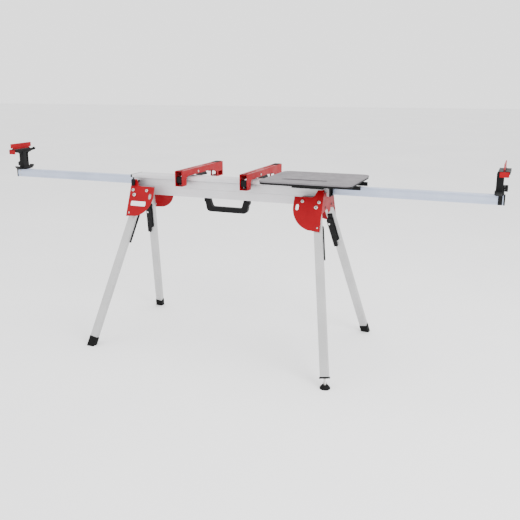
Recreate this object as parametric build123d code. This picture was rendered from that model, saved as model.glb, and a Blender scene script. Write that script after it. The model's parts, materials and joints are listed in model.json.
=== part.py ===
from build123d import *
import os
from math import atan, cos, degrees, radians, sin

os.makedirs("parts", exist_ok=True)

# Folding mitre saw stand, millimetres. +X runs along the beam to the right, -Y is the front,
# +Z is up. The origin is on the floor, under the middle of the beam.

# Main beam, an aluminium extrusion with two lanes side by side for the extension arms
beam_half = 520.0            # half length of the top rail
beam_lower_half = 505.0      # half length below the arm lanes, up to the end plates
beam_top = 839.0
beam_bottom = 740.0
body_half_y = 33.0
lip_half_y = 52.0
lip_thick = 6.0
lip_drop = 14.0
lip_wall = 4.0
lane_near_y = 1.5            # lane walls, from the centre web outwards
lane_far_y = 31.0
lane_floor = 788.5
lane_roof = 832.5
deck_thick = 3.0             # web under the lanes
wall = 3.0

# Extension arms, aluminium box tubes
arm_y = 16.25                # centre of each lane
arm_width = 28.0
arm_bottom = 789.5
arm_top = 831.5
arm_inner_end = 341.0
arm_outer_end = 1266.0
arm_wall = 3.5
cap_thick = 6.0
arm_extra = {"left": 13.0, "right": 0.0}    # the left arm is drawn out a little further

# Splayed leg plates at the two ends
plate_thick = 3.0
splay = 0.398                # how far a plate moves out for each unit that it goes down
plate_y_top = 62.0           # outer face at plate_ref_z
plate_ref_z = 840.0
splay_angle = degrees(atan(splay))
pivot_x = 480.0
pivot_z = 744.0
plate_end_x = 508.0
arc_radius = 110.0           # lower inner edge, round the pivot
skirt_drop = 107.0           # bottom edge of a plate below the pivot, in its own plane
bolt_spots = ((11.0, 24.5), (-68.0, 24.5))    # from the pivot, in the plane of the plate
bolt_r = 4.0
bolt_length = 30.0
slot_at = (-90.0, -4.0)
slot_size = (28.0, 15.0)
end_plate_top = 805.0
arch_z = 714.0
arch_peak = 726.0

# Legs, aluminium box tubes in two layers behind the plates, so that all four fold flat
leg_width = 36.0
leg_depth = 26.0
leg_wall = 2.0
leg_tilt = 10.2              # degrees outwards when deployed
layer_right = -7.0           # outer face of a leg, measured in from the plate's outer face
layer_left = -37.0
pivot_r = 5.0
running_fit = 0.05
tube_lift = 12.0             # tube end above the floor, along the leg
shoe_height = 46.0
shoe_wall = 2.5
levelling_gap = 52.0         # the front right leg is this much shorter, for its screw foot
foot_stem_r = 5.0
foot_pad_r = 23.0
ball_lift = 15.0             # centre of the foot's ball, up the leg's line from the floor
ball_r = 7.0

# Latch levers in the legs, all four the same part
nest_top = 56.0              # distances from the leg's pivot, along the leg
lever_axle = 66.0
lever_top = 74.0
lever_step = 203.0
lever_bottom = 238.0
lever_across = (-22.0, 8.0)  # the raised handle, across the leg
lever_tail = (-22.0, -4.0)
lever_nest = 11.0            # half width of the part inside the leg's window
lever_deep = 5.0             # how far the nested part goes into the leg
lever_proud = 10.0
lever_gap = 0.6              # between the raised handle and the leg's face
axle_depth = 2.4             # lever axle below the leg's inner face
axle_r = 2.0
axle_reach = 17.5
lock_radius = 94.0
lock_pin_r = 4.0
pin_gap = 0.3
pin_sweep = 5.0              # room along the leg for the pin to swing

# Carrying handle
handle_top_half = 117.0
handle_low_half = 107.0
handle_limb = 28.0
handle_lug_thick = 4.0
handle_low_z = 673.0
handle_bar = 25.0
handle_y = -16.0
handle_r = 11.0
handle_pivot_z = beam_bottom - handle_r - 0.3

# Saw brackets
bracket_xs = {"left": -220.0, "right": 124.0}
bracket_width = 40.0
bracket_front = -105.0
bracket_rear = 361.0
bracket_top = 876.0
bracket_under = 846.0
bracket_low = 801.0
bracket_wall = 3.0
clear = 0.3                  # between parts that slide on each other
slot_centres = (-17.0, 217.0)    # bolt slots along the bracket's top
slot_length = 134.0
slot_width = 9.0
cam_y = 66.0
cam_z = 857.0

# Side tray
tray_x = (222.0, 655.0)
tray_y = (-180.0, 205.0)
tray_top_z = 862.0
tray_thick = 6.0
tray_frame_thick = 9.0
tray_corner = 37.0
rail_x = (348.0, 673.0)
knob_x = 440.0
knob_z = 833.0
tray_mid = tray_top_z - tray_thick
frame_low = tray_mid - tray_frame_thick

# Work supports at the arm ends
support_x = 1246.0
support_shift = {"left": -5.0, "right": 0.0}
post_size = (29.0, 43.0)
post_foot = 834.0
post_raise = {"left": 4.0, "right": 0.0}
base_top = 846.0
tongue_half = 7.0            # the post's tongue slides through the base and into the arm
tongue_foot = 802.0
support_knob_z = 859.5
web_thick = 4.0              # slotted web of the post
head_z = 925.0               # underside of the head with the post all the way down
head_size = (48.0, 134.0, 12.0)
head_x = support_x + 15.0    # the head sits outboard of its post
stop_size = (4.0, 158.0, 29.0)
stop_pin_r = 2.0
stop_z = head_z + head_size[2] + 3.0

# Arm locks, a screw through one leg plate at each end
lock_x = 490.0
lock_z = 806.0
lock_head_y = 83.5
lock_stud_r = 4.0


def block(x, y, z):
    """Box between pairs of lowest and highest values."""
    size = [hi - lo for lo, hi in (x, y, z)]
    centre = [(hi + lo) / 2 for lo, hi in (x, y, z)]
    return Pos(*centre) * Box(*size)


def rod(start, end, radius):
    """Cylinder from one point to another."""
    a, b = Vector(*start), Vector(*end)
    plane = Plane(origin=a, z_dir=b - a)
    return plane * Cylinder(radius, (b - a).length, align=(Align.CENTER, Align.CENTER, Align.MIN))


def prism(points, x):
    """Outline given as (y, z) points, extruded along X between two values."""
    face = Plane.YZ.offset(x[0]) * make_face(Polyline(*points, close=True))
    return extrude(face, amount=x[1] - x[0])


def mirror_x(shape):
    return mirror(shape, about=Plane.YZ)


def mirror_y(shape):
    return mirror(shape, about=Plane.XZ)


def both_y(shape):
    return [shape, mirror_y(shape)]


def save(node, *shapes):
    """Write one node: a solid, or several separate solids as a group."""
    solids = [solid for shape in shapes for solid in shape.solids()]
    export_step(solids[0] if len(solids) == 1 else Compound(children=solids), f"parts/{node}.step")


def plate_y(z):
    """Distance of a leg plate's outer face from the middle plane at a height."""
    return plate_y_top + (plate_ref_z - z) * splay


# The front right plate's own frame: X outwards along the beam, Y up the slope, Z out of the face
plate_plane = Plane(
    origin=(pivot_x, -plate_y(pivot_z), pivot_z),
    x_dir=(1, 0, 0),
    z_dir=(0, -cos(radians(splay_angle)), sin(radians(splay_angle))),
)


def slope(z):
    """Height converted to the plate's own Y."""
    return (z - pivot_z) / cos(radians(splay_angle))


def place(shape, side, face):
    """Move a shape from the plate frame to its corner of the stand."""
    placed = plate_plane * shape
    placed = placed if side == "right" else mirror_x(placed)
    return placed if face == "front" else mirror_y(placed)


corners = [(side, face) for side in ("left", "right") for face in ("front", "rear")]


# Beam ---------------------------------------------------------------------------------------

def lane(x, grow=0.0):
    """The space of one arm lane, right of the centre web."""
    return block(x, (lane_near_y - grow, lane_far_y + grow), (lane_floor - grow, lane_roof + grow))


def main_beam():
    x = (-beam_half, beam_half)
    lower_x = (-beam_lower_half, beam_lower_half)
    deck = lane_floor - deck_thick
    beam = block(x, (-body_half_y, body_half_y), (deck, beam_top))
    beam += block(lower_x, (-body_half_y, body_half_y), (beam_bottom, deck))
    beam += block(x, (-lip_half_y, lip_half_y), (beam_top - lip_thick, beam_top))
    for hook in both_y(block(x, (lip_half_y - lip_wall, lip_half_y), (beam_top - lip_drop, beam_top))):
        beam += hook
    for hollow in both_y(lane(x)):
        beam -= hollow
    beam -= block(x, (wall - body_half_y, body_half_y - wall), (beam_bottom + wall, deck))
    groove_depth = 1.0
    for z in (lane_floor - 8, beam_top - lip_drop - 6):
        for groove in both_y(block(x, (body_half_y - groove_depth, body_half_y + 1), (z, z + 3))):
            beam -= groove
    for y in (20.0, 40.0):
        for groove in both_y(block(x, (y, y + 3), (beam_top - groove_depth, beam_top + 1))):
            beam -= groove
    for side in (-1, 1):
        beam -= rod((side * lock_x, side * (lane_far_y - 1), lock_z), (side * lock_x, side * 35, lock_z),
                    lock_stud_r + clear)
    return beam


def beam_end_cap():
    x = (beam_half, beam_half + 8)
    outline = block(x, (-body_half_y - 1, body_half_y + 1), (lane_floor - deck_thick, beam_top))
    outline += block(x, (-lip_half_y - 1, lip_half_y + 1), (beam_top - lip_drop, beam_top))
    play = 0.4
    window = block(
        (x[0] - 1, x[1] + 1),
        (arm_y - arm_width / 2 - play, arm_y + arm_width / 2 + play),
        (arm_bottom - play, arm_top + play),
    )
    for hole in both_y(window):
        outline -= hole
    return outline


# Leg plates ---------------------------------------------------------------------------------

def leg_plate():
    """One splayed side plate, in the plate frame."""
    end_u = plate_end_x - pivot_x
    run = (arc_radius ** 2 - skirt_drop ** 2) ** 0.5
    mid = (-arc_radius * cos(radians(52)), -arc_radius * sin(radians(52)))
    outline = [
        Line((end_u, slope(820)), (-1, slope(819))),
        Line((-1, slope(819)), (-17, slope(787))),
        Line((-17, slope(787)), (-arc_radius + 1, slope(786))),
        Line((-arc_radius + 1, slope(786)), (-arc_radius, 0)),
        ThreePointArc((-arc_radius, 0), mid, (-run, -skirt_drop)),
        Line((-run, -skirt_drop), (end_u + 2, -skirt_drop - 4)),
        Line((end_u + 2, -skirt_drop - 4), (end_u, slope(820))),
    ]
    face = make_face(outline)
    inner_corner = face.vertices().sort_by(Axis.X)[:4]
    face = fillet([max(inner_corner, key=lambda v: v.Y)], 14)
    plate = Pos(0, 0, -plate_thick) * extrude(face, amount=plate_thick)
    for u, w in bolt_spots:
        plate -= rod((u, w, 1), (u, w, -9), bolt_r)
    plate -= rod((0, 0, 1), (0, 0, -9), pivot_r)
    tilt = radians(leg_tilt)
    plate -= rod((lock_radius * sin(tilt), -lock_radius * cos(tilt), 1),
                 (lock_radius * sin(tilt), -lock_radius * cos(tilt), -9), lock_pin_r + 0.5)
    plate -= Pos(*slot_at, 0) * Rot(0, 0, 90) * extrude(SlotOverall(*slot_size), 9, both=True)
    return plate


def lock_hole(side):
    """Hole for the arm lock's stud through the front left or rear right plate."""
    sign = 1 if side == "right" else -1
    return rod((sign * lock_x, sign * 40, lock_z), (sign * lock_x, sign * 90, lock_z), lock_stud_r + clear)


def end_plate():
    """Plate across the end of the beam, joining the front and rear plates."""
    inset = plate_thick / cos(radians(splay_angle))
    x = (beam_lower_half, plate_end_x)
    top, low = end_plate_top, pivot_z - skirt_drop * cos(radians(splay_angle))
    wide = [(plate_y(top) - inset, top), (plate_y(low) - inset, low)]
    outline = wide + [(-y, z) for y, z in reversed(wide)]
    plate = prism(outline, x)
    leg_line = -layer_right / cos(radians(splay_angle)) - 0.8
    arch = [(plate_y(low) - leg_line, low), (plate_y(arch_z) - leg_line, arch_z), (20, arch_peak)]
    arch = arch + [(-y, z) for y, z in reversed(arch)]
    plate -= prism([(arch[0][0], low - 5)] + arch + [(arch[-1][0], low - 5)], (x[0] - 1, x[1] + 1))
    notch_low = lane_floor - deck_thick
    plate -= block((x[0] - 1, x[1] + 1), (-body_half_y - 0.2, body_half_y + 0.2), (notch_low, top + 5))
    return plate


def saddle_block():
    """Spacer between the beam's side and the front right plate, which the plate bolts run into."""
    low, high = 765.0, 783.0
    inset = plate_thick / cos(radians(splay_angle))
    outline = [(-body_half_y, low), (-body_half_y, high),
               (inset - plate_y(high), high), (inset - plate_y(low), low)]
    spacer = prism(outline, (400.0, beam_lower_half))
    for u, w in bolt_spots:
        spacer -= plate_plane * rod((u, w, 1), (u, w, -bolt_length), bolt_r)
    return spacer


def socket_head(u, w, radius, height):
    """Domed bolt head with a hexagon socket."""
    head = Pos(u, w, 0) * Cylinder(radius, height, align=(Align.CENTER, Align.CENTER, Align.MIN))
    head = fillet(head.edges().group_by(Axis.Z)[-1], height * 0.6)
    return head - Pos(u, w, height - 2) * extrude(RegularPolygon(radius * 0.42, 6), 3)


def plate_bolt(u, w):
    return socket_head(u, w, 8, 4.5) + rod((u, w, 0.5), (u, w, -bolt_length), bolt_r)


def pivot_bolt(layer):
    """Bolt, spacer and nut that a leg turns on, in the plate frame."""
    back = layer - leg_depth
    bolt = socket_head(0, 0, 9, 5) + rod((0, 0, 0.5), (0, 0, back - 8), pivot_r)
    spacer = rod((0, 0, -plate_thick), (0, 0, layer + clear), 10)
    spacer -= rod((0, 0, 1), (0, 0, layer - 1), pivot_r)
    nut = Pos(0, 0, back - clear - 6) * extrude(RegularPolygon(8.5, 6), 6)
    nut -= rod((0, 0, back), (0, 0, back - 9), pivot_r)
    return [bolt, spacer, nut]


# Legs ---------------------------------------------------------------------------------------

layers = {"left": layer_left, "right": layer_right}


def leg_reach(side):
    """Length from the pivot to the floor, along the leg's middle line."""
    depth = layers[side] - leg_depth / 2
    drop = (pivot_z + depth * sin(radians(splay_angle))) / cos(radians(splay_angle))
    return drop / cos(radians(leg_tilt))


def lean(shape):
    """Turn a shape drawn straight down the plate to the leg's tilt."""
    return Rot(0, 0, leg_tilt) * shape


def leg_envelope(side, length, grow=0.0):
    """Outer shape of a tube that hangs from the pivot, round at the top."""
    half = leg_width / 2 + grow
    z = (layers[side] - leg_depth - grow, layers[side] + grow)
    return block((-half, half), (-length, 0), z) + rod((0, 0, z[0]), (0, 0, z[1]), half)


def latch_hand(side, face):
    """All four levers are the same part, so their tails point to opposite sides on neighbouring legs."""
    return 1 if (side == "right") == (face == "rear") else -1


def pin_slot(back, side):
    """Room for the lock pin, drawn out along the leg so that the pin can swing."""
    z = (back + lever_deep + 2, layers[side] + 1)
    radius = lock_pin_r + 0.5
    slot = block((-radius, radius), (-lock_radius - pin_sweep, -lock_radius), z)
    for y in (-lock_radius, -lock_radius - pin_sweep):
        slot += rod((0, y, z[0]), (0, y, z[1]), radius)
    return slot


def leg_tube(side, length):
    tube = leg_envelope(side, length)
    tube -= leg_envelope(side, length + 5, -leg_wall)
    back = layers[side] - leg_depth
    slot = lever_nest + 1
    tube -= block((-slot, slot), (-lever_step - 2, -nest_top + 3), (back - 1, back + leg_wall + 1))
    tube -= rod((0, 0, back - 1), (0, 0, layers[side] + 1), pivot_r + running_fit)
    tube -= pin_slot(back, side)
    axle = back + axle_depth
    half = leg_width
    tube -= rod((-half, -lever_axle, axle), (half, -lever_axle, axle), axle_r + running_fit)
    return lean(tube)


def latch_lever(side, face):
    """Lever hinged at its top end in the leg's window. Pulling its tail draws the lock pin out."""
    back = layers[side] - leg_depth
    hand = latch_hand(side, face)
    outer = (back - lever_proud, back - lever_gap)
    across = sorted(hand * x for x in lever_across)
    tail = sorted(hand * x for x in lever_tail)
    middle = sum(across) / 2
    round_r = (across[1] - across[0]) / 2
    round_y = -lever_top - round_r
    lever = block(across, (-lever_step, round_y), outer)
    lever += rod((middle, round_y, outer[0]), (middle, round_y, outer[1]), round_r)
    lever += block(tail, (-lever_bottom, -lever_step + 1), outer)
    nest = (back - lever_proud + 4, back + lever_deep)
    lever += block((-lever_nest, lever_nest), (-lever_step + 4, -nest_top), nest)
    for groove in range(4):
        y = -lever_bottom + 14 + 12 * groove
        lever -= block((tail[0] + 3, tail[1] - 3), (y, y + 4), (outer[0] - 1, outer[0] + 1))
    axle = back + axle_depth
    return lean(lever + rod((-axle_reach, -lever_axle, axle), (axle_reach, -lever_axle, axle), axle_r))


def latch_pin(side):
    """Lock pin under the lever, stopping just short of the plate."""
    foot = layers[side] - leg_depth + lever_deep
    return lean(rod((0, -lock_radius, foot), (0, -lock_radius, -plate_thick - pin_gap), lock_pin_r))


def above_floor(shape):
    reach = 3000.0
    return shape & block((-reach, reach), (-reach, reach), (0, reach))


def rubber_shoe(side, face):
    length = leg_reach(side)
    half = leg_width / 2 + shoe_wall
    z = (layers[side] - leg_depth - shoe_wall, layers[side] + shoe_wall)
    shoe = block((-half, half), (-length - 30, -length + shoe_height), z)
    shoe = fillet(shoe.edges().filter_by(Axis.Y), 4)
    shoe -= leg_envelope(side, length - tube_lift)
    return above_floor(place(lean(shoe), side, face))


def foot_axis_point(distance):
    """Point on the front right leg's middle line, that far from the pivot, in the stand's frame."""
    tilt = radians(leg_tilt)
    local = Vector(distance * sin(tilt), -distance * cos(tilt), layer_right - leg_depth / 2)
    return plate_plane.from_local_coords(local)


def leg_plug(side):
    """Threaded plug and collar in the end of the front right leg."""
    length = leg_reach(side) - levelling_gap
    half = leg_width / 2 - leg_wall
    mid = layers[side] - leg_depth / 2
    depth = leg_depth / 2 - leg_wall
    plug = block((-half, half), (-length, -length + 24), (mid - depth, mid + depth))
    plug += block((-21, 21), (-length - 8, -length), (mid - 16, mid + 16))
    plug -= rod((0, -length - 20, mid), (0, -length + 40, mid), foot_stem_r + running_fit)
    return place(lean(plug), side, "front")


def levelling_stem():
    reach = leg_reach("right")
    top = foot_axis_point(reach - levelling_gap - 22)
    ball = foot_axis_point(reach - ball_lift)
    nut_low, nut_high = foot_axis_point(reach - 30), foot_axis_point(reach - 24)
    stem = rod(top, ball, foot_stem_r) + rod(nut_low, nut_high, 10)
    return stem + Pos(ball) * Sphere(ball_r)


def levelling_pad():
    """Domed pad that swivels on the stem's ball and stands flat."""
    ball = foot_axis_point(leg_reach("right") - ball_lift)
    base = rod((ball.X, ball.Y, 0), (ball.X, ball.Y, 6), foot_pad_r)
    dome = Pos(ball.X, ball.Y, 6) * Cone(foot_pad_r, 11, 14, align=(Align.CENTER, Align.CENTER, Align.MIN))
    mouth = rod(ball, foot_axis_point(leg_reach("right") - 40), 11)
    return base + dome - Pos(ball) * Sphere(ball_r) - mouth


# Handle -------------------------------------------------------------------------------------

def carry_handle():
    top_z = handle_pivot_z
    low = handle_low_z
    outer = [(-handle_top_half, top_z), (handle_top_half, top_z)]
    outer += [(handle_low_half, low), (-handle_low_half, low)]
    inner_top, inner_low = handle_top_half - handle_limb, handle_low_half - handle_limb
    bar = low + handle_bar
    inner = [(-inner_top, top_z + 1), (inner_top, top_z + 1), (inner_low, bar), (-inner_low, bar)]
    plane = Plane.XZ.offset(-handle_y - handle_r)
    outer_face = make_face(Polyline(*outer, close=True))
    inner_face = make_face(Polyline(*inner, close=True))
    outer_face = fillet(outer_face.vertices().sort_by(Axis.Y)[:2], 22)
    inner_face = fillet(inner_face.vertices().sort_by(Axis.Y)[:2], 12)
    bail = plane * extrude(outer_face - inner_face, amount=2 * handle_r)
    for sign in (-1, 1):
        a, b = sorted((sign * inner_top, sign * handle_top_half))
        bail += rod((a, handle_y, top_z), (b, handle_y, top_z), handle_r)
        bail -= rod((sign * (handle_top_half - 13), handle_y, top_z),
                    (sign * (handle_top_half + 1), handle_y, top_z), 4 + running_fit)
    return bail


def handle_lug():
    x = (handle_top_half + clear, handle_top_half + clear + handle_lug_thick)
    lug = block(x, (handle_y - handle_r, handle_y + handle_r), (handle_pivot_z, beam_bottom))
    lug += rod((x[0], handle_y, handle_pivot_z), (x[1], handle_y, handle_pivot_z), handle_r)
    return lug + rod((x[0], handle_y, handle_pivot_z), (x[0] - 12, handle_y, handle_pivot_z), 4)


# Saw brackets -------------------------------------------------------------------------------

def bracket_rail(xc):
    half = bracket_width / 2
    f, r, t, u, low = bracket_front, bracket_rear, bracket_top, bracket_under, bracket_low
    arc_y, arc_z, arc_r = -40.0, 826.0, 20.0
    outline = [
        Line((f, low), (f, t)), Line((f, t), (r, t)), Line((r, t), (r, low)),
        Line((r, low), (288, low)), Line((288, low), (288, 830)), Line((288, 830), (262, 831)),
        Line((262, 831), (256, 840)), Line((256, 840), (232, 839)), Line((232, 839), (226, u)),
        Line((226, u), (arc_y, u)),
        ThreePointArc((arc_y, u), (arc_y - arc_r * sin(radians(45)), arc_z + arc_r * cos(radians(45))),
                      (arc_y - arc_r, arc_z)),
        Line((arc_y - arc_r, arc_z), (arc_y - arc_r, low)), Line((arc_y - arc_r, low), (f, low)),
    ]
    rail = extrude(Plane.YZ.offset(xc - half) * make_face(outline), bracket_width)
    inside = (xc - half + bracket_wall, xc + half - bracket_wall)
    rail -= block(inside, (f - 1, r - bracket_wall), (low + bracket_wall, t - bracket_wall))
    rail -= block(inside, (arc_y - arc_r, 285), (low, u + 1))
    across = (xc - half - 1, xc + half + 1)
    rail -= block(across, (301, 350), (low + 6, 827))
    slot = Rot(0, 0, 90) * extrude(SlotOverall(slot_length, slot_width), 10, both=True)
    for slot_y in slot_centres:
        rail -= Pos(xc, slot_y, t) * slot
    rail -= rod((xc - half - 1, cam_y, cam_z), (xc + half + 1, cam_y, cam_z), 3)
    return rail


def front_jaw(xc):
    """Block in the bracket's front end, with the hook that goes under the beam's front lip."""
    inner = bracket_width / 2 - bracket_wall
    jaw = block((xc - inner, xc + inner), (-98, -72), (818, 846))
    jaw += block((xc - 11, xc + 11), (-72, -lip_half_y - 3), (806, 832))
    hook_top = beam_top - lip_drop - clear
    return jaw + block((xc - 11, xc + 11), (-lip_half_y - 3, -44), (806, hook_top))


def rear_jaw(xc):
    """Sliding hook that the cam lever draws against the beam's rear lip."""
    x = (xc - 14, xc - 4)
    hook_top = beam_top - lip_drop - clear
    jaw = block(x, (lip_half_y + clear, 61), (812, 850))
    jaw += block(x, (44, 61), (812, hook_top))
    return jaw + block(x, (-40, 61), (849, 855))


def cam_pin(xc):
    half = bracket_width / 2
    pin = rod((xc - half, cam_y, cam_z), (xc + half, cam_y, cam_z), 3)
    heads = [rod((xc + s * half, cam_y, cam_z), (xc + s * (half + 2), cam_y, cam_z), 5.5) for s in (-1, 1)]
    return pin + heads[0] + heads[1]


def clamp_lever(xc):
    x = (xc - 2, xc + 14)
    outline = [(cam_y - 2, cam_z - 9), (92, 830), (176, 827), (182, 833), (160, 846), (120, 850)]
    outline += [(cam_y + 4, cam_z + 9)]
    lever = prism(outline, x) + rod((x[0], cam_y, cam_z), (x[1], cam_y, cam_z), 10)
    return lever - rod((x[0] - 1, cam_y, cam_z), (x[1] + 1, cam_y, cam_z), 3 + running_fit)


# Tray ---------------------------------------------------------------------------------------

def tray_panel(inset, z):
    x = (tray_x[0] + inset, tray_x[1] - inset)
    y = (tray_y[0] + inset, tray_y[1] - inset)
    panel = block(x, y, z)
    return fillet(panel.edges().filter_by(Axis.Z), tray_corner - inset)


def tray_top():
    panel = tray_panel(0, (tray_mid, tray_top_z))
    slot = extrude(SlotOverall(218, 28), 20, both=True)
    return panel - Pos(413, -72, tray_top_z) * slot


def tray_frame():
    """Black carrier under the tray: a rim and a centre plate."""
    rim = tray_panel(2, (frame_low, tray_mid))
    rim -= tray_panel(16, (frame_low - 1, tray_mid + 1))
    return rim + block((290, 536), (tray_y[0] + 10, tray_y[1] - 10), (frame_low, tray_mid))


def tray_slide():
    """Rear rail, hook and pad that carry the tray on the beam's lip; the front ones mirror them."""
    shank_hole = rod((knob_x, 45, knob_z), (knob_x, 80, knob_z), 4 + running_fit)
    hook_x = (348, 500)
    hook_top = beam_top - lip_drop - clear
    rail = block(rail_x, (62, 72), (829, frame_low))
    pad = block((300, 500), (20, 48), (beam_top + clear, frame_low))
    hook = block(hook_x, (lip_half_y + clear, 62), (hook_top - 3.5, frame_low))
    hook += block(hook_x, (46, 62), (hook_top - 3.5, hook_top))
    return [rail - shank_hole, hook - shank_hole, pad]


def knob_head(radius, height, lobes):
    """Lobed knob that stands on XY and points up."""
    head = Cylinder(radius - 2, height, align=(Align.CENTER, Align.CENTER, Align.MIN))
    for i in range(lobes):
        angle = radians(360 / lobes * i)
        spot = Pos((radius - 4) * cos(angle), (radius - 4) * sin(angle), 0)
        head += spot * Cylinder(4, height, align=(Align.CENTER, Align.CENTER, Align.MIN))
    return head


def tray_knob():
    knob = Plane(origin=(knob_x, 74, knob_z), z_dir=(0, 1, 0)) * knob_head(12, 16, 6)
    return knob + rod((knob_x, 74, knob_z), (knob_x, lip_half_y + clear, knob_z), 4)


# Arms and work supports ---------------------------------------------------------------------

def tongue_hole(x):
    """Room for a post's tongue through a base's floor and an arm's roof."""
    half = tongue_half + clear
    return block((x - half, x + half), (arm_y - half, arm_y + half), (arm_top - arm_wall - 1, post_foot + 1))


def arm_tube(side):
    y = (arm_y - arm_width / 2, arm_y + arm_width / 2)
    ends = (arm_inner_end - 1, arm_outer_end + 1)
    tube = block((arm_inner_end, arm_outer_end), y, (arm_bottom, arm_top))
    tube = fillet(tube.edges().filter_by(Axis.X), 2)
    tube -= block(ends, (y[0] + arm_wall, y[1] - arm_wall), (arm_bottom + arm_wall, arm_top - arm_wall))
    for low, high, deep in ((arm_top - 10, arm_top - 3, 1.8), (arm_bottom + 9, arm_bottom + 11.5, 0.8)):
        for edge in y:
            tube -= block(ends, (edge - deep, edge + deep), (low, high))
    return tube - tongue_hole(support_x + support_shift[side] - arm_extra[side])


def arm_cap():
    y = (arm_y - arm_width / 2, arm_y + arm_width / 2)
    cap = block((arm_outer_end, arm_outer_end + cap_thick), (y[0] - 1, y[1] + 1), (arm_bottom - 1, arm_top))
    inner = arm_wall
    return cap + block((arm_outer_end - 8, arm_outer_end), (y[0] + inner, y[1] - inner),
                       (arm_bottom + inner, arm_top - inner))


def support_base():
    """Collar on the arm's top, with a cheek on one side, two raised wings and a wall for the knob."""
    hx, hy = post_size[0] / 2, post_size[1] / 2
    rim = 4.0
    base = block((support_x - hx - rim, support_x + hx + rim), (arm_y - hy - rim, arm_y + hy + rim),
                 (arm_top, base_top))
    base = fillet(base.edges().filter_by(Axis.Z), 5)
    cheek = arm_y - arm_width / 2
    base += block((support_x - 2, support_x + 16), (cheek - 4, cheek), (arm_bottom, arm_top + 1))
    wall_x = (support_x + hx + clear, support_x + hx + 6)
    base += block(wall_x, (arm_y - 14, arm_y + 14), (arm_top, 872))
    wing = [(22, 832), (46, 832), (62, 846), (60, 852), (44, 841), (22, 842)]
    for sign in (-1, 1):
        base += prism([(arm_y + sign * y, z) for y, z in wing], (support_x - 13, support_x + 13))
    base -= block((support_x - hx - clear, support_x + hx + clear),
                  (arm_y - hy - clear, arm_y + hy + clear), (post_foot - 1, 880))
    base -= tongue_hole(support_x)
    across = (support_x, support_x + 40)
    return base - rod((across[0], arm_y, support_knob_z), (across[1], arm_y, support_knob_z), 4 + running_fit)


def support_knob():
    hx = post_size[0] / 2
    x = support_x + hx + 7
    knob = Plane(origin=(x, arm_y, support_knob_z), z_dir=(1, 0, 0)) * knob_head(14.5, 12, 6)
    return knob + rod((x, arm_y, support_knob_z), (support_x + hx + clear, arm_y, support_knob_z), 4)


def support_post():
    """Slotted post, its tongue and the support head, post all the way down."""
    hx, hy = post_size[0] / 2, post_size[1] / 2
    top = head_z + head_size[2]
    post = block((support_x - hx, support_x + hx), (arm_y - hy, arm_y + hy), (post_foot, head_z))
    post = fillet(post.edges().filter_by(Axis.Z), 3)
    open_x = (support_x - hx + web_thick, support_x + hx + 1)
    post -= block(open_x, (arm_y + 1, arm_y + hy - 4), (867, head_z - 3))
    for low, high in ((head_z - 29, head_z - 4), (head_z - 44, head_z - 31), (head_z - 56, head_z - 46)):
        slot = Pos(arm_y + 9.2, (low + high) / 2) * Rot(0, 0, 90) * SlotOverall(high - low, 9.5)
        post -= extrude(Plane.YZ.offset(support_x - hx - 1) * slot, web_thick + 2)
    post += block((support_x - tongue_half, support_x + tongue_half),
                  (arm_y - tongue_half, arm_y + tongue_half), (tongue_foot, post_foot + 1))
    half = head_size[1] / 2
    y = (arm_y - half, arm_y + half)
    post += block((head_x - head_size[0] / 2, head_x + head_size[0] / 2), y, (head_z, top))
    ear = 3.2
    for sign in (-1, 1):
        ear_y = sorted((arm_y + sign * half, arm_y + sign * (half - 4)))
        post += block((head_x - ear, head_x + ear), ear_y, (top, stop_z + ear))
        brace = [(hy - 1, head_z), (54, head_z), (51, head_z - 4), (32, head_z - 8), (hy - 1, head_z - 16)]
        post += prism([(arm_y + sign * y, z) for y, z in brace], (support_x - 9, support_x + 9))
    return post - rod((head_x, y[0] - 1, stop_z), (head_x, y[1] + 1, stop_z), stop_pin_r + running_fit)


def end_tab():
    """Red bracket on the front end of the head."""
    front = arm_y - head_size[1] / 2
    tab = block((head_x - 17, head_x + 21), (front - 4, front), (head_z - 12, head_z + 10))
    return fillet(tab.edges().filter_by(Axis.Y), 3)


def flip_stop():
    """Red stop plate standing on the head, with a hinge pin between the head's two ears."""
    x = (head_x - stop_size[0] / 2, head_x + stop_size[0] / 2)
    y = (arm_y - stop_size[1] / 2, arm_y + stop_size[1] / 2)
    plate = block(x, y, (stop_z + 5, stop_z + stop_size[2]))
    plate = fillet(plate.edges().filter_by(Axis.X), 3)
    between = head_size[1] / 2 - 4 - clear
    plate += block(x, (arm_y - between, arm_y + between), (stop_z, stop_z + 12))
    end = head_size[1] / 2
    return plate + rod((head_x, arm_y - end, stop_z), (head_x, arm_y + end, stop_z), stop_pin_r)


def turned(shape, side, out):
    """Place a shape drawn for the right arm, moved outwards. The left arm lies in the front lane."""
    moved = Pos(out, 0, 0) * shape
    return moved if side == "right" else mirror_y(mirror_x(moved))


def flipped(shape, side, lift):
    """Place a post's shape. The left one mirrors the right one, so both tabs face the front."""
    moved = Pos(support_shift[side], 0, lift) * shape
    return moved if side == "right" else Pos(0, -2 * arm_y, 0) * mirror_x(moved)


# Locks for the arms -------------------------------------------------------------------------

def arm_lock():
    """Screw with a wing head, through the rear right plate and the beam's side, bearing on the arm."""
    head = Plane(origin=(lock_x, lock_head_y, lock_z), z_dir=(0, 1, 0)) * extrude(SlotOverall(35, 17), 12)
    arm_side = arm_y + arm_width / 2
    return head + rod((lock_x, arm_side + clear, lock_z), (lock_x, lock_head_y + 1, lock_z), lock_stud_r)


# Write every node ---------------------------------------------------------------------------

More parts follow.
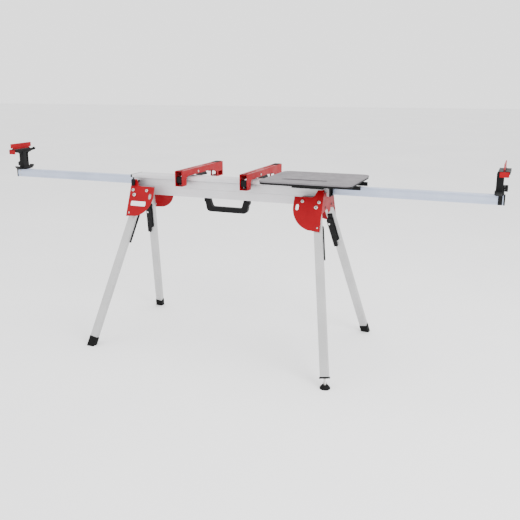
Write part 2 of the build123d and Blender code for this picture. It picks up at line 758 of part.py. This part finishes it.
save("main_beam", main_beam())
save("beam_end_caps", beam_end_cap(), mirror_x(beam_end_cap()))
save("saddle_blocks", *[turn for block_ in both_y(saddle_block()) for turn in (block_, mirror_x(block_))])
bolts = [place(plate_bolt(*spot), *corner) for corner in corners for spot in bolt_spots]
bolts += [place(piece, side, face) for side, face in corners for piece in pivot_bolt(layers[side])]
save("plate_bolts", *bolts)
save("end_plate_right", end_plate())
save("end_plate_left", mirror_x(end_plate()))
save("handle_lugs", handle_lug(), mirror_x(handle_lug()))
save("carry_handle", carry_handle())

for side, face in corners:
    corner_name = f"{face}_{side}"
    levelling = (side, face) == ("right", "front")
    tube_end = leg_reach(side) - (levelling_gap if levelling else tube_lift)
    plate = place(leg_plate(), side, face)
    if (side == "right") == (face == "rear"):
        plate -= lock_hole(side)
    save(f"leg_plate_{corner_name}", plate)
    save(f"leg_{corner_name}", place(leg_tube(side, tube_end), side, face))
    save(f"latch_lever_{corner_name}", place(latch_lever(side, face), side, face))
    save(f"latch_pin_{corner_name}", place(latch_pin(side), side, face))
    if levelling:
        save("leg_end_plug", leg_plug(side))
    else:
        save(f"rubber_foot_{corner_name}", rubber_shoe(side, face))
save("levelling_stem", levelling_stem())
save("levelling_pad", levelling_pad())

for side, xc in bracket_xs.items():
    save(f"saw_bracket_{side}", bracket_rail(xc))
    save(f"bracket_front_jaw_{side}", front_jaw(xc))
    save(f"bracket_rear_jaw_{side}", rear_jaw(xc))
    save(f"cam_pin_{side}", cam_pin(xc))
    save(f"clamp_lever_{side}", clamp_lever(xc))

save("tray_top", tray_top())
save("tray_frame", tray_frame())
save("tray_slides", *[turn for piece in tray_slide() for turn in both_y(piece)])
save("tray_knob", tray_knob())

for side in ("left", "right"):
    save(f"arm_{side}", turned(arm_tube(side), side, arm_extra[side]))
    save(f"arm_cap_{side}", turned(arm_cap(), side, arm_extra[side]))
    save(f"support_base_{side}", turned(support_base(), side, support_shift[side]))
    save(f"support_knob_{side}", turned(support_knob(), side, support_shift[side]))
    save(f"support_post_{side}", flipped(support_post(), side, post_raise[side]))
    save(f"support_tab_{side}", flipped(end_tab(), side, post_raise[side]))
    save(f"flip_stop_{side}", flipped(flip_stop(), side, post_raise[side]))
    save(f"arm_lock_{side}", turned(arm_lock(), side, 0))
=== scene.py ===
import json
import math
import bmesh
import bpy
from mathutils import Matrix, Vector


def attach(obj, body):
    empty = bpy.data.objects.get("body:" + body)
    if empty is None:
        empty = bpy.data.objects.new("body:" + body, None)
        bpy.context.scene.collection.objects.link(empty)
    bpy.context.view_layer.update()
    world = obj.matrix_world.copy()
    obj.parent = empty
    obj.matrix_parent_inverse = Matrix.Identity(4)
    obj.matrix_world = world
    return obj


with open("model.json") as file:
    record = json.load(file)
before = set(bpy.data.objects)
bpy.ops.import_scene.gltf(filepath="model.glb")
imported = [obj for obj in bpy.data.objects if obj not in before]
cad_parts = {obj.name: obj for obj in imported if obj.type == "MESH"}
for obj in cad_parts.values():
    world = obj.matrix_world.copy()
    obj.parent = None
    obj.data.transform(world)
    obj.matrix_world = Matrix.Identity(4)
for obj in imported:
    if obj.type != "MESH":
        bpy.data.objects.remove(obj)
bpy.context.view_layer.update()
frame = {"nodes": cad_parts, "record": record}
nodes = frame["nodes"]
MM = 0.001                         # detail pieces are laid out in millimetres

# Places that the detail pieces share with the CAD, in its frame
SLOPE = math.atan(0.398)           # leg plates lean out by this much
TILT = math.radians(10.2)          # legs splay by this much in the plane of their plate
PIVOT = (480.0, -100.208, 744.0)   # front right leg pivot, on its plate's outer face
LEG_BACK = {"right": -33.0, "left": -63.0}      # inner face of a leg, in from its plate's face
BOLT_HEADS = ((11, 24.5, 4.5), (-68, 24.5, 4.5), (0, 0, 5))    # on a plate, with their heights
END_PLATE_FACE = 508.0
LEVER_PROUD = 10.0                 # a latch lever stands out this far from its leg
LEVER_RIVET = (14.0, 107.0)        # across and down the leg
HEAD_REAR = 67.0                   # rear end of a support's head
PLUNGERS = (("left", -1256, 935), ("right", 1261, 927.5))
BRACKET_X = (("left", -220), ("right", 124))
BRACKET_TOP = 876.0
HANDLE_BAR = (-16.0, 685.5)        # middle of the grip, Y and Z
ARM_SCREWS = (("left", -1262, -30.25), ("right", 1249, 2.25))   # X, and Y of the arm's front face


# Materials ----------------------------------------------------------------------------------

class Surface:
    """A procedural material, with short calls for the textures that it is built from."""

    def __init__(self, name):
        self.material = bpy.data.materials.new(name)
        self.material.use_nodes = True
        self.tree = self.material.node_tree
        self.shader = self.tree.nodes["Principled BSDF"]
        self.place = self.node("ShaderNodeTexCoord").outputs["Object"]
        rounded = self.node("ShaderNodeBevel", samples=4)
        rounded.inputs["Radius"].default_value = 0.0007
        self.join(rounded.outputs["Normal"], self.shader.inputs["Normal"])

    def node(self, kind, **values):
        made = self.tree.nodes.new(kind)
        for key, value in values.items():
            setattr(made, key, value)
        return made

    def join(self, source, target):
        self.tree.links.new(source, target)

    def stretched(self, scale):
        mapping = self.node("ShaderNodeMapping")
        mapping.inputs["Scale"].default_value = scale
        self.join(self.place, mapping.inputs["Vector"])
        return mapping.outputs["Vector"]

    def noise(self, scale, detail=3.0, stretch=(1, 1, 1)):
        texture = self.node("ShaderNodeTexNoise")
        texture.inputs["Scale"].default_value = scale
        texture.inputs["Detail"].default_value = detail
        self.join(self.stretched(stretch), texture.inputs["Vector"])
        return texture.outputs["Fac"]

    def remap(self, value, low, high, to_low=0.0, to_high=1.0):
        made = self.node("ShaderNodeMapRange")
        for key, number in (("From Min", low), ("From Max", high), ("To Min", to_low), ("To Max", to_high)):
            made.inputs[key].default_value = number
        self.join(value, made.inputs["Value"])
        return made.outputs["Result"]

    def multiply(self, a, b):
        made = self.node("ShaderNodeMath", operation="MULTIPLY")
        self.join(a, made.inputs[0])
        self.join(b, made.inputs[1])
        return made.outputs["Value"]

    def mix(self, amount, first, second):
        made = self.node("ShaderNodeMix", data_type="RGBA")
        self.join(amount, made.inputs["Factor"])
        for socket, value in (("A", first), ("B", second)):
            target = [s for s in made.inputs if s.name == socket and s.type == "RGBA"][0]
            if isinstance(value, tuple):
                target.default_value = (*value, 1.0)
            else:
                self.join(value, target)
        return [s for s in made.outputs if s.type == "RGBA"][0]

    def bump(self, height, strength, distance):
        made = self.node("ShaderNodeBump")
        made.inputs["Strength"].default_value = strength
        made.inputs["Distance"].default_value = distance
        self.join(height, made.inputs["Height"])
        if self.shader.inputs["Normal"].is_linked:
            self.join(self.shader.inputs["Normal"].links[0].from_socket, made.inputs["Normal"])
        self.join(made.outputs["Normal"], self.shader.inputs["Normal"])

    def edge_mask(self, radius):
        """1 along convex and concave edges, 0 on flats."""
        bevel = self.node("ShaderNodeBevel", samples=4)
        bevel.inputs["Radius"].default_value = radius
        normal = self.node("ShaderNodeNewGeometry").outputs["Normal"]
        dot = self.node("ShaderNodeVectorMath", operation="DOT_PRODUCT")
        self.join(bevel.outputs["Normal"], dot.inputs[0])
        self.join(normal, dot.inputs[1])
        return self.remap(dot.outputs["Value"], 0.99, 0.8)

    def colour(self, socket):
        self.join(socket, self.shader.inputs["Base Color"])

    def roughness(self, socket):
        self.join(socket, self.shader.inputs["Roughness"])

    def set(self, **values):
        for key, value in values.items():
            self.shader.inputs[key.replace("_", " ")].default_value = value


def extruded_aluminium(name, light, dark, roughness, along):
    """Anodised extrusion: die lines along its length, soft cloudiness and a few handling marks."""
    s = Surface(name)
    s.set(Metallic=0.85)
    lines = tuple(0.01 if axis == along else 1.0 for axis in "xyz")
    clouds = s.noise(9, 4)
    streaks = s.noise(700, 2, lines)
    marks = s.remap(s.noise(60, 6, tuple(0.15 if axis == along else 1.0 for axis in "xyz")), 0.68, 0.78)
    base = s.mix(s.remap(clouds, 0.3, 0.7), dark, light)
    base = s.mix(s.remap(streaks, 0.35, 0.65, 0.0, 0.35), base, tuple(c * 0.82 for c in dark))
    s.colour(s.mix(s.remap(marks, 0, 1, 0, 0.35), base, tuple(c * 0.6 for c in dark)))
    s.roughness(s.remap(s.multiply(clouds, streaks), 0.1, 0.4, roughness[0], roughness[1]))
    s.bump(streaks, 0.12, 0.0002)
    s.bump(marks, 0.2, 0.0003)
    return s.material


def powder_coat(name, light, dark, worn, roughness, grain, wear):
    """Powder-coated steel: orange-peel bump, faint unevenness, dust, and paint worn at some edges."""
    s = Surface(name)
    s.set(Specular_IOR_Level=0.12)
    clouds = s.noise(14, 4)
    peel = s.noise(grain, 2)
    scuffs = s.remap(s.noise(45, 8, (1, 1, 0.4)), 0.64, 0.72)
    chips = s.multiply(s.edge_mask(0.0012), s.remap(s.noise(120, 5), 0.56, 0.64))
    base = s.mix(s.remap(clouds, 0.3, 0.7), dark, light)
    base = s.mix(s.remap(scuffs, 0, 1, 0, 0.3), base, tuple(min(1.0, c * 1.25 + 0.01) for c in light))
    s.colour(s.mix(s.remap(chips, 0, 1, 0, wear), base, worn))
    s.roughness(s.remap(s.noise(30, 5), 0.3, 0.7, roughness[0], roughness[1]))
    s.bump(peel, 0.25, 0.0002)
    s.bump(chips, -0.3, 0.0002)
    return s.material


def moulded(name, light, dark, roughness, grain, depth):
    """Moulded plastic or rubber: fine spark texture, sheen differences and pale rubbed edges."""
    s = Surface(name)
    s.set(Specular_IOR_Level=0.15)
    clouds = s.noise(25, 4)
    texture = s.noise(grain, 3)
    rubbed = s.multiply(s.edge_mask(0.001), s.remap(s.noise(90, 4), 0.45, 0.65))
    base = s.mix(s.remap(clouds, 0.3, 0.7), dark, light)
    s.colour(s.mix(s.remap(rubbed, 0, 1, 0, 0.5), base, tuple(c * 2.2 + 0.01 for c in light)))
    s.roughness(s.remap(clouds, 0.3, 0.7, roughness[0], roughness[1]))
    s.bump(texture, 0.4, depth)
    return s.material


def plated_steel(name, light, dark, roughness):
    """Zinc-plated steel: cloudy passivation and turning marks."""
    s = Surface(name)
    s.set(Metallic=1.0)
    clouds = s.noise(70, 5)
    spots = s.remap(s.noise(300, 3), 0.62, 0.75)
    base = s.mix(s.remap(clouds, 0.3, 0.7), dark, light)
    s.colour(s.mix(s.remap(spots, 0, 1, 0, 0.4), base, tuple(c * 0.5 for c in dark)))
    s.roughness(s.remap(clouds, 0.3, 0.7, roughness[0], roughness[1]))
    s.bump(s.noise(900, 2), 0.15, 0.0001)
    return s.material


def cast_metal(name, light, dark):
    """Sand-cast skin: pitted, with rough and smoother patches."""
    s = Surface(name)
    s.set(Metallic=0.8)
    pits = s.noise(260, 6)
    s.colour(s.mix(s.remap(pits, 0.35, 0.65), dark, light))
    s.roughness(s.remap(pits, 0.3, 0.7, 0.45, 0.7))
    s.bump(pits, 0.6, 0.0006)
    return s.material


def floor_finish():
    """Matt studio floor, almost even."""
    s = Surface("studio_floor")
    s.colour(s.mix(s.remap(s.noise(0.8, 3), 0.3, 0.7), (0.86, 0.86, 0.87), (0.90, 0.90, 0.90)))
    s.roughness(s.remap(s.noise(3, 3), 0.3, 0.7, 0.75, 0.9))
    return s.material


finishes = {
    "beam_aluminium": extruded_aluminium("beam_aluminium", (0.70, 0.69, 0.71), (0.60, 0.59, 0.61),
                                         (0.45, 0.6), "x"),
    "arm_aluminium": extruded_aluminium("arm_aluminium", (0.52, 0.58, 0.72), (0.44, 0.50, 0.64),
                                        (0.36, 0.5), "x"),
    "leg_aluminium": extruded_aluminium("leg_aluminium", (0.54, 0.54, 0.54), (0.45, 0.45, 0.45),
                                        (0.42, 0.55), "z"),
    "cast_aluminium": cast_metal("cast_aluminium", (0.45, 0.45, 0.46), (0.30, 0.30, 0.31)),
    "red_paint": powder_coat("red_paint", (0.26, 0.0, 0.005), (0.21, 0.0, 0.004),
                             (0.35, 0.30, 0.28), (0.36, 0.52), 1100, 0.5),
    "grey_paint": powder_coat("grey_paint", (0.15, 0.14, 0.15), (0.12, 0.11, 0.12),
                              (0.5, 0.5, 0.5), (0.45, 0.6), 2200, 0.3),
    "black_metal": powder_coat("black_metal", (0.004, 0.004, 0.004), (0.002, 0.002, 0.002),
                               (0.2, 0.2, 0.2), (0.4, 0.55), 1500, 0.3),
    "black_plastic": moulded("black_plastic", (0.004, 0.004, 0.0045), (0.002, 0.002, 0.0022),
                             (0.45, 0.62), 1800, 0.0002),
    "black_rubber": moulded("black_rubber", (0.004, 0.004, 0.004), (0.002, 0.002, 0.002),
                            (0.7, 0.9), 900, 0.0004),
    "zinc_steel": plated_steel("zinc_steel", (0.62, 0.61, 0.58), (0.45, 0.44, 0.42), (0.25, 0.42)),
    "white_plastic": moulded("white_plastic", (0.80, 0.80, 0.79), (0.74, 0.74, 0.73),
                             (0.35, 0.5), 1500, 0.0001),
}
for entry in frame["record"]["subparts"]:
    made = nodes[entry["node"]]
    for material_slot in made.material_slots:
        material_slot.material = finishes[entry["material_slot"]]


# Detail pieces, each riding the body that it is fixed to --------------------------------------

CORNERS = [(side, face) for side in ("left", "right") for face in ("front", "rear")]


def plate_frame(side, face):
    """Leg pivot on a plate's outer face: X outboard, Y up the plate, Z out of it. Millimetres."""
    up, out = (0, math.sin(SLOPE), math.cos(SLOPE)), (0, -math.cos(SLOPE), math.sin(SLOPE))
    axes = Matrix(((1, 0, 0), up, out)).transposed().to_4x4()
    mirror = Matrix.Diagonal((-1 if side == "left" else 1, -1 if face == "rear" else 1, 1, 1))
    return Matrix.Scale(MM, 4) @ mirror @ Matrix.Translation(PIVOT) @ axes


def leg_frame(side, face):
    """The same point with Y up the leg and X across it."""
    return plate_frame(side, face) @ Matrix.Rotation(TILT, 4, "Z")


def plain_frame(place, normal):
    """Frame at a point in millimetres, with Z along the normal."""
    turn = Vector(normal).to_track_quat("Z", "Y").to_matrix().to_4x4()
    return Matrix.Scale(MM, 4) @ Matrix.Translation(place) @ turn


def rounded(x, y, radius, steps=5):
    """Outline of a rectangle with round corners."""
    corners = ((x[1], y[1], 0), (x[0], y[1], 90), (x[0], y[0], 180), (x[1], y[0], 270))
    points = []
    for cx, cy, start in corners:
        mx = cx - radius if cx == x[1] else cx + radius
        my = cy - radius if cy == y[1] else cy + radius
        for step in range(steps + 1):
            turn = math.radians(start + 90 * step / steps)
            points.append((mx + radius * math.cos(turn), my + radius * math.sin(turn)))
    return points


def regular(sides, radius):
    return [(radius * math.cos(math.tau * k / sides), radius * math.sin(math.tau * k / sides))
            for k in range(sides)]


def slab(mesh, outline, levels, place, chamfer=0.0):
    """Adds a flat-ended solid with softened rims to a mesh."""
    low, high = levels
    centre = Vector((sum(p[0] for p in outline), sum(p[1] for p in outline))) / len(outline)
    reach = max((Vector(p) - centre).length for p in outline)
    inner = 1 - chamfer / reach
    rings = []
    for scale, level in ((inner, low), (1, low + chamfer), (1, high - chamfer), (inner, high)):
        rings.append([mesh.verts.new(place @ Vector((*(centre + (Vector(p) - centre) * scale), level)))
                      for p in outline])
    faces = [mesh.faces.new(rings[0]), mesh.faces.new(rings[-1])]
    for lower, upper in zip(rings, rings[1:]):
        for k in range(len(outline)):
            faces.append(mesh.faces.new((lower[k - 1], lower[k], upper[k], upper[k - 1])))
    bmesh.ops.recalc_face_normals(mesh, faces=faces)


def turned(mesh, profile, place, segments=28):
    """Adds a solid of revolution, from (radius, height) pairs, to a mesh."""
    rings = [[mesh.verts.new(place @ Vector((radius * x, radius * y, height)))
              for x, y in regular(segments, 1.0)] for radius, height in profile]
    faces = [mesh.faces.new(rings[0]), mesh.faces.new(rings[-1])]
    for lower, upper in zip(rings, rings[1:]):
        for k in range(segments):
            faces.append(mesh.faces.new((lower[k - 1], lower[k], upper[k], upper[k - 1])))
    bmesh.ops.recalc_face_normals(mesh, faces=faces)


def add_piece(name, mesh, finish, body):
    data = bpy.data.meshes.new(name)
    mesh.to_mesh(data)
    mesh.free()
    data.materials.append(finishes[finish])
    made = bpy.data.objects.new(name, data)
    bpy.context.collection.objects.link(made)
    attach(made, body)


def add_plate_details():
    """Blank strip, black hexes painted as the shade inside the bolt heads' socket recesses, plugs and a tab
    on the right end plate.
    """
    strip = bmesh.new()
    slab(strip, rounded((-72, 12), (-56, -32), 5), (-0.2, 0.7), plate_frame("left", "front"), 0.3)
    add_piece("blank_strip", strip, "white_plastic", "stand")
    # Flat black hexes on the bolt heads: painted shade standing for the inside of the socket recesses,
    # which are not modelled as holes.
    recess_shade_hexes = bmesh.new()
    for corner in CORNERS:
        for x, y, height in BOLT_HEADS:
            place = plate_frame(*corner) @ Matrix.Translation((x, y, height))
            slab(recess_shade_hexes, regular(6, 3.4), (-0.6, 0.12), place, 0.05)
    add_piece("bolt_recess_painted_shade", recess_shade_hexes, "black_metal", "stand")
    plugs = bmesh.new()
    for y, z in ((48, 738), (-48, 738)):
        turned(plugs, ((6.5, -0.5), (6.5, 0.5), (5.8, 1.0)), plain_frame((END_PLATE_FACE, y, z), (1, 0, 0)))
    add_piece("end_plate_plugs", plugs, "black_plastic", "stand")
    gusset = bmesh.new()
    slab(gusset, [(0, 730), (54, 730), (50, 706), (24, 699)], (501.5, 504.8),
         Matrix.Scale(MM, 4) @ Matrix(((0, 0, 1, 0), (1, 0, 0, 0), (0, 1, 0, 0), (0, 0, 0, 1))), 0.4)
    add_piece("arch_gusset", gusset, "red_paint", "stand")


def add_latch_rivets():
    for side, face in CORNERS:
        hand = 1 if (side == "right") == (face == "rear") else -1
        across, down = LEVER_RIVET
        spot = Matrix.Translation((-across * hand, -down, LEG_BACK[side] - LEVER_PROUD))
        rivet = bmesh.new()
        profile = ((5.0, 0.3), (5.0, -0.6), (4.2, -1.5), (2.4, -2.1), (0.6, -2.3))
        turned(rivet, profile, leg_frame(side, face) @ spot)
        add_piece(f"latch_rivet_{face}_{side}", rivet, "white_plastic", f"latch_{face}_{side}")


def add_support_plungers():
    for side, x, z in PLUNGERS:
        plunger = bmesh.new()
        profile = ((4.6, -2), (4.6, 14), (8.0, 15), (8.4, 18), (8.0, 23), (6.5, 24.5))
        turned(plunger, profile, plain_frame((x, HEAD_REAR, z), (0, 1, 0)))
        add_piece(f"plunger_{side}", plunger, "black_plastic", f"support_{side}")


def add_bracket_pads():
    """A long rubber pad at the rear of each bracket's top and a short one at its front."""
    half_width, sunk = 16.5, 0.2
    millimetres = Matrix.Scale(MM, 4)
    for side, x in BRACKET_X:
        width = (x - half_width, x + half_width)
        pad = bmesh.new()
        slab(pad, rounded(width, (292, 357), 4), (BRACKET_TOP - sunk, BRACKET_TOP + 1.6), millimetres, 0.5)
        slab(pad, rounded(width, (-102, -90), 3), (BRACKET_TOP - sunk, BRACKET_TOP + 1.0), millimetres, 0.4)
        add_piece(f"bracket_pad_{side}", pad, "black_rubber", f"bracket_{side}")


def add_handle_ribs():
    ribs = bmesh.new()
    count, pitch = 17, 8
    for step in range(count):
        place = plain_frame((pitch * (step - (count - 1) / 2), *HANDLE_BAR), (1, 0, 0))
        slab(ribs, rounded((-11.5, 11.5), (-13.0, 13.0), 5.5), (-1.2, 1.2), place, 0.4)
    add_piece("handle_ribs", ribs, "black_plastic", "handle")


def add_small_screws():
    for side, x, y in ARM_SCREWS:
        screws = bmesh.new()
        for z in (799, 822):
            place = plain_frame((x, y, z), (0, -1, 0))
            turned(screws, ((3.4, -0.3), (3.4, 0.7), (2.7, 1.4), (1.0, 1.7)), place)
        add_piece(f"arm_screws_{side}", screws, "zinc_steel", f"arm_{side}_assembly")


add_plate_details()
add_latch_rivets()
add_support_plungers()
add_bracket_pads()
add_handle_ribs()
add_small_screws()


# Stage --------------------------------------------------------------------------------------

def direction(azimuth, elevation):
    """Unit vector that a camera looks along. Azimuth 0 looks along +Y."""
    return Vector((-math.sin(azimuth) * math.cos(elevation),
                   math.cos(azimuth) * math.cos(elevation), -math.sin(elevation)))


def add_camera():
    azimuth, elevation, roll = math.radians(22.89), math.radians(14.46), math.radians(-0.26)
    forward = direction(azimuth, elevation)
    right = Vector((math.cos(azimuth), math.sin(azimuth), 0))
    up = right.cross(forward)
    axes = Matrix((right, up, -forward)).transposed().to_4x4() @ Matrix.Rotation(roll, 4, "Z")
    data = bpy.data.cameras.new("camera")
    data.sensor_width = 36.0
    data.lens = 46.14
    data.shift_x = 0.0175
    data.shift_y = -0.0148
    data.clip_end = 60.0
    camera = bpy.data.objects.new("camera", data)
    camera.matrix_world = Matrix.Translation((1.3626, -2.9507, 1.3021)) @ axes
    bpy.context.collection.objects.link(camera)
    bpy.context.scene.camera = camera


def add_area_light(name, place, target, size, power, colour=(1, 1, 1)):
    data = bpy.data.lights.new(name, "AREA")
    data.shape = "RECTANGLE"
    data.size, data.size_y = size
    data.energy = power
    data.color = colour
    light = bpy.data.objects.new(name, data)
    toward = Vector(target) - Vector(place)
    light.matrix_world = Matrix.Translation(place) @ toward.to_track_quat("-Z", "Y").to_matrix().to_4x4()
    bpy.context.collection.objects.link(light)


def add_stage():
    mesh = bpy.data.meshes.new("studio_floor")
    grid = bmesh.new()
    bmesh.ops.create_grid(grid, x_segments=8, y_segments=8, size=30.0)
    grid.to_mesh(mesh)
    floor = bpy.data.objects.new("studio_floor", mesh)
    mesh.materials.append(floor_finish())
    bpy.context.collection.objects.link(floor)
    world = bpy.data.worlds.new("studio_world")
    world.use_nodes = True
    background = world.node_tree.nodes["Background"]
    background.inputs["Color"].default_value = (1.0, 1.0, 1.0, 1.0)
    background.inputs["Strength"].default_value = 2.0
    bpy.context.scene.world = world
    middle = (0.1, 0, 0.6)
    add_area_light("key", (3.6, -2.2, 3.0), middle, (2.5, 2.5), 230)
    add_area_light("fill", (-2.5, -3.5, 2.2), middle, (3.0, 2.0), 15)
    add_area_light("top", (0, 0.5, 4.0), middle, (4.0, 2.0), 60)


add_camera()
add_stage()
